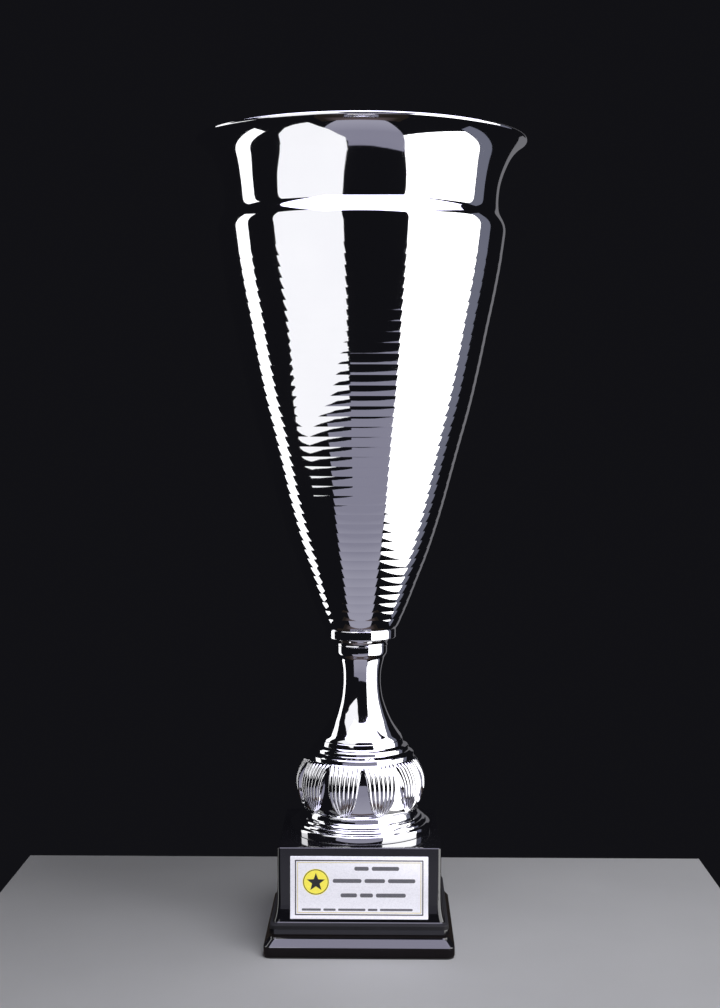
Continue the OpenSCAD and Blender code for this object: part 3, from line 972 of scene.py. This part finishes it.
def build_nut(name, z0, h, af, bore, repl):
    seg = 72
    verts, faces = [], []
    ac = af / math.sqrt(3)

    def hex_r(a):
        q = (a % (math.pi / 3)) - math.pi / 6
        return min(af / 2 / math.cos(q), ac * 0.995)

    levels = []
    for dz, lim in ((0.0, af * 0.47), (0.02, af * 0.485), (0.55, 99)):
        levels.append((z0 + dz, lim))
    for dz, lim in ((0.55, 99), (0.02, af * 0.485), (0.0, af * 0.47)):
        levels.append((z0 + h - dz, lim))
    # the chamfer cuts the corners of the hexagon down to a cone
    rows = []
    for idx, (z, lim) in enumerate(levels):
        row = []
        for s in range(seg):
            a = TAU * s / seg + math.pi / 6
            r = min(hex_r(a), lim)
            zz = z
            if lim > 90:
                over = max(0.0, hex_r(a) - af / 2)
                zz = z + (over * 0.5 if idx < 3 else -over * 0.5)
            row.append((r * math.cos(a), r * math.sin(a), zz))
        rows.append(row)
    inner = []
    for z, r in ((z0 + h - 0.03, bore + 0.5), (z0 + h - 0.55, bore), (z0 + 0.55, bore), (z0 + 0.03, bore + 0.5)):
        inner.append([(r * math.cos(TAU * s / seg + math.pi / 6), r * math.sin(TAU * s / seg + math.pi / 6), z) for s in range(seg)])
    allr = rows + inner
    for row in allr:
        verts += row
    m = len(allr)
    for i in range(m):
        j = (i + 1) % m
        for s in range(seg):
            t = (s + 1) % seg
            faces.append((i * seg + s, i * seg + t, j * seg + t, j * seg + s))
    return mesh_obj(name, verts, faces, M_ZINC, None, True, (repl,), auto=25)


top_nut = build_nut("top_nut", Z_CUP + CUP_WALL + 3, 6.5, 13, ROD_R, "bowl_nut")
Z_IRON = Z_PLINTH - 4 - 12
low_nut = build_nut("low_nut", Z_IRON - 10.5, 6.5, 13, ROD_R, "plinth_nut")
top_washer = lathe("top_washer", [(HOLE_R, Z_CUP + CUP_WALL + 1), (12, Z_CUP + CUP_WALL + 1), (12, Z_CUP + CUP_WALL + 3),
                                  (HOLE_R, Z_CUP + CUP_WALL + 3)], M_ZINC, 96, 0.3, 3, ("bowl_washer",))
seal = lathe("seal", [(HOLE_R, Z_CUP + CUP_WALL), (12.5, Z_CUP + CUP_WALL), (12.5, Z_CUP + CUP_WALL + 1),
                      (HOLE_R, Z_CUP + CUP_WALL + 1)], M_RUBBER, 96, 0.25, 3, ("sealing_washer",))
low_washer = lathe("low_washer", [(HOLE_R, Z_IRON - 2), (12, Z_IRON - 2), (12, Z_IRON), (HOLE_R, Z_IRON)],
                   M_ZINC, 96, 0.3, 3, ("plinth_washer",))

# ---------------------------------------------------------------- hidden parts keep their CAD shape
CARRIED = {"bulb_spacer": M_ZINC, "iron_weight": M_IRON, "lock_washer": M_ZINC, "closing_board": M_BOARD,
           "board_screws": M_ZINC, "base_pad": M_PAD, "plate_tape": M_TAPE}
for o in bpy.data.objects:
    if o.type != "MESH":
        continue
    key = o.name.split(".")[0]
    for nm, mt in CARRIED.items():
        if key == nm or key.startswith(nm):
            for sl in o.material_slots:
                sl.link = "DATA"
            if o.material_slots:
                for sl in o.material_slots:
                    sl.material = mt
            else:
                o.data.materials.append(mt)

# ---------------------------------------------------------------- stage
FLOOR_X0, FLOOR_X1, FLOOR_Y0, FLOOR_Y1 = -0.30, 0.30, -0.60, 0.205


def plane(name, pts, mat):
    me = bpy.data.meshes.new(name)
    me.from_pydata(pts, [], [tuple(range(len(pts)))])
    me.materials.append(mat)
    o = bpy.data.objects.new(name, me)
    bpy.context.scene.collection.objects.link(o)
    return o


def floor_material():
    m, nt, b = material("stage_floor")
    co = obj_co(nt)
    n1 = noise(nt, co, 6, 3, 0.5)
    nt.links.new(ramp(nt, n1, [(0.3, (0.60, 0.60, 0.635)), (0.7, (0.64, 0.64, 0.675))]), b.inputs["Base Color"])
    nt.links.new(remap(nt, n1, 0.75, 0.85), b.inputs["Roughness"])
    return m


def card_material(name, color, strength):
    m = bpy.data.materials.new(name)
    m.use_nodes = True
    nt = m.node_tree
    nt.nodes.clear()
    out = nt.nodes.new("ShaderNodeOutputMaterial")
    e = nt.nodes.new("ShaderNodeEmission")
    e.inputs["Color"].default_value = (*color, 1)
    e.inputs["Strength"].default_value = strength
    nt.links.new(e.outputs[0], out.inputs["Surface"])
    return m


floor = plane("stage_floor", [(FLOOR_X0, FLOOR_Y0, 0), (FLOOR_X1, FLOOR_Y0, 0), (FLOOR_X1, FLOOR_Y1, 0), (FLOOR_X0, FLOOR_Y1, 0)],
              floor_material())
floor.visible_glossy = False

def graded_card(name, near, far, y0, y1, fade_x=0.0):
    """card whose glow runs from one colour at depth y0 to another at y1, and may fade to the sides"""
    m = bpy.data.materials.new(name)
    m.use_nodes = True
    nt = m.node_tree
    nt.nodes.clear()
    out = nt.nodes.new("ShaderNodeOutputMaterial")
    e = nt.nodes.new("ShaderNodeEmission")
    sp = node(nt, "ShaderNodeSeparateXYZ", {"Vector": obj_co(nt)})
    f = remap(nt, sp.outputs["Y"], 0.0, 1.0, y0, y1)
    if fade_x:
        side = remap(nt, mth(nt, "ABSOLUTE", sp.outputs["X"]), 0.0, 1.0, fade_x * 0.4, fade_x)
        f = mth(nt, "MAXIMUM", f, side)
    nt.links.new(ramp(nt, f, [(0.0, near), (1.0, far)]), e.inputs["Color"])
    nt.links.new(e.outputs[0], out.inputs["Surface"])
    return m


# glowing cards, seen only in reflections, that paint what the chrome sees below it: a painted sheen for the dark table
# top, brighter at its front edge and fading to the sides, and, in front of it, the painted glow of the dim studio floor
table = plane("stage_table", [(-0.187, -0.150, -0.0005), (0.187, -0.150, -0.0005), (0.187, 0.20, -0.0005), (-0.187, 0.20, -0.0005)],
              graded_card("stage_table", (0.13, 0.10, 0.105), (0.018, 0.014, 0.012), -0.15, -0.03, 0.16))
# painted glow for the lit lower studio floor and its raised near edge, seen only in the chrome
low = plane("stage_low", [(-0.418, -0.562, -0.0008), (-0.1316, -0.785, -0.0008), (0.57, -0.785, -0.0008), (0.115, -0.151, -0.0008),
                          (-0.115, -0.151, -0.0008)],
            graded_card("stage_low", (0.34, 0.335, 0.41), (0.25, 0.245, 0.315), -0.20, -0.45))
lip = plane("stage_lip", [(-0.1316, -0.785, -0.0008), (0.57, -0.785, -0.0008), (0.585, -0.80, 0.045), (-0.1316, -0.80, 0.045)],
            card_material("stage_lip", (0.245, 0.24, 0.31), 1.0))
# the low edge of the left soft light: bright on its upper side only, so only the wall above it shows it
sill_m = card_material("stage_left_sill", (1.044, 1.044, 1.06), 1.0)
nt = sill_m.node_tree
em = next(n for n in nt.nodes if n.type == "EMISSION")
mo = next(n for n in nt.nodes if n.type == "OUTPUT_MATERIAL")
geo = nt.nodes.new("ShaderNodeNewGeometry")
clear = nt.nodes.new("ShaderNodeBsdfTransparent")
mx = nt.nodes.new("ShaderNodeMixShader")
nt.links.new(geo.outputs["Backfacing"], mx.inputs[0])
nt.links.new(em.outputs[0], mx.inputs[1])
nt.links.new(clear.outputs[0], mx.inputs[2])
nt.links.new(mx.outputs[0], mo.inputs["Surface"])
sill = plane("stage_left_sill", [(x, y, 0.30) for x, y in (
    (-0.519, -0.278), (-0.084, -0.514), (-0.076, -0.389), (-0.099, -0.329), (-0.114, -0.226), (-0.133, -0.174),
    (-0.145, -0.114), (-0.189, -0.105), (-0.242, -0.107), (-0.325, -0.142), (-0.426, -0.218))], sill_m)
for o in (table, low, lip, sill):
    o.visible_camera = False
    o.visible_diffuse = False
    o.visible_shadow = False

light_objs = []


def softbox(name, az, dist, z, w, h, radiance, color=(1, 1, 1), tilt=0.0, turn=0.0, roll=0.0):
    """vertical soft light at azimuth az (0 = front, + to the right), facing the axis"""
    d = bpy.data.lights.new(name, "AREA")
    d.shape = "RECTANGLE"
    d.size, d.size_y = w, h
    d.color = color
    d.energy = radiance * math.pi * w * h
    o = bpy.data.objects.new(name, d)
    a = math.radians(az)
    pos = Vector((dist * math.sin(a), -dist * math.cos(a), z))
    o.location = pos
    face = Vector((-math.sin(a + math.radians(turn)), math.cos(a + math.radians(turn)), math.tan(math.radians(tilt)))).normalized()
    rot = face.to_track_quat("-Z", "Y").to_matrix().to_4x4() @ Matrix.Rotation(math.radians(roll), 4, "Z")
    o.matrix_world = Matrix.Translation(pos) @ rot
    bpy.context.scene.collection.objects.link(o)
    o.visible_camera = False
    light_objs.append(o)
    return o


softbox("key_right", 70, 0.95, 0.29, 1.28, 1.62, 2.6)
softbox("strip_left", -102, 1.00, 0.30, 0.28, 1.5, 1.6)
softbox("strip_right", 111, 1.00, 0.30, 0.245, 1.6, 0.20, (0.74, 0.77, 1.0))
softbox("back_right", 163, 1.00, 0.40, 0.46, 1.6, 0.17, (0.94, 0.93, 1.0))
softbox("back_right_foot", 168, 1.00, 0.40, 0.20, 1.6, 0.15, (0.94, 0.93, 1.0))

d = bpy.data.lights.new("overhead", "AREA")
d.shape = "RECTANGLE"
d.size, d.size_y = 1.9, 1.75
d.color = (0.787, 0.76, 1.0)
d.energy = 3.3 * math.pi * 1.9 * 1.75
over = bpy.data.objects.new("overhead", d)
over.location = (0.15, -0.595, 1.39)
over.rotation_euler = (0, 0, 0)
over.visible_camera = False
bpy.context.scene.collection.objects.link(over)
light_objs.append(over)

# the big lights fall on the object only; a gentle one of its own lights the floor
only_obj = bpy.data.collections.new("not_floor")
only_obj.objects.link(floor)
for l in light_objs:
    l.light_linking.receiver_collection = only_obj
for c in only_obj.collection_objects:
    c.light_linking.link_state = "EXCLUDE"

# the left key stands low for the bowl and is flagged off below it
shown = [o for o in bpy.data.objects if o.type == "MESH" and o not in (floor, table, low, lip, sill)]
recv_bowl = bpy.data.collections.new("bowl_only")
recv_bowl.objects.link(bowl)
recv_rest = bpy.data.collections.new("rest_only")
for o in shown:
    if o is not bowl:
        recv_rest.objects.link(o)
recv_plate = bpy.data.collections.new("plate_only")
for o in (plate, line_dark, line_gold, emblem, emblem_ring, emblem_star, rules):
    recv_plate.objects.link(o)
k = softbox("key_left", -39.4, 0.70, 0.535, 0.716, 0.92, 1.06, (0.985, 0.985, 1.0), roll=4)
k.light_linking.receiver_collection = recv_bowl
k = softbox("key_left_high", -37, 1.00, 1.02, 1.02, 1.00, 1.06, (0.985, 0.985, 1.0), roll=-20)
k.light_linking.receiver_collection = recv_rest
chrome = bpy.data.collections.new("chrome_only")
chrome_up = bpy.data.collections.new("chrome_up")
chrome_low = bpy.data.collections.new("chrome_low")
for o in (bowl, collar, neck, stem, dome, bulb, foot):
    chrome.objects.link(o)
    (chrome_low if o in (dome, bulb, foot) else chrome_up).objects.link(o)
for l in light_objs:
    if l.name == "strip_right":
        l.light_linking.receiver_collection = chrome
    if l.name == "back_right":
        l.light_linking.receiver_collection = chrome_up
    if l.name == "back_right_foot":
        l.light_linking.receiver_collection = chrome_low
k = softbox("plate_fill", 0, 1.25, 0.45, 0.6, 0.6, 5.7, (1.0, 0.99, 0.95))
k.visible_glossy = False
k.light_linking.receiver_collection = recv_plate

only_floor = bpy.data.collections.new("floor_only")
only_floor.objects.link(floor)
d = bpy.data.lights.new("floor_light", "AREA")
d.shape = "RECTANGLE"
d.size, d.size_y = 1.0, 1.0
d.energy = 13.0
fl = bpy.data.objects.new("floor_light", d)
fl.location = (0.35, -0.5, 1.3)
fl.rotation_euler = (Vector((0, 0, 0)) - Vector(fl.location)).to_track_quat("-Z", "Y").to_euler()
fl.visible_camera = False
fl.visible_glossy = False
bpy.context.scene.collection.objects.link(fl)
fl.light_linking.receiver_collection = only_floor

w = bpy.data.worlds.new("dark_studio")
w.use_nodes = True
nt = w.node_tree
nt.nodes.clear()
wo = nt.nodes.new("ShaderNodeOutputWorld")
bg = nt.nodes.new("ShaderNodeBackground")
bg.inputs["Color"].default_value = (0.0058, 0.0058, 0.0075, 1)
bg.inputs["Strength"].default_value = 1.0
nt.links.new(bg.outputs[0], wo.inputs["Surface"])
bpy.context.scene.world = w

# ---------------------------------------------------------------- camera
cam_d = bpy.data.cameras.new("camera")
cam_d.sensor_width = 36.0
cam_d.lens = 57.857
cam = bpy.data.objects.new("camera", cam_d)
az, pitch, yaw, roll = math.radians(0.8), math.radians(3.07), math.radians(0.028), 0.0012
cam.matrix_world = (Matrix.Translation(Vector((1.230 * math.sin(az), -1.230 * math.cos(az), 0.3943)))
                    @ Matrix.Rotation(az + yaw, 4, "Z") @ Matrix.Rotation(math.pi / 2 - pitch, 4, "X") @ Matrix.Rotation(roll, 4, "Z"))
bpy.context.scene.collection.objects.link(cam)
bpy.context.scene.camera = cam

bpy.context.scene.view_settings.view_transform = "Standard"
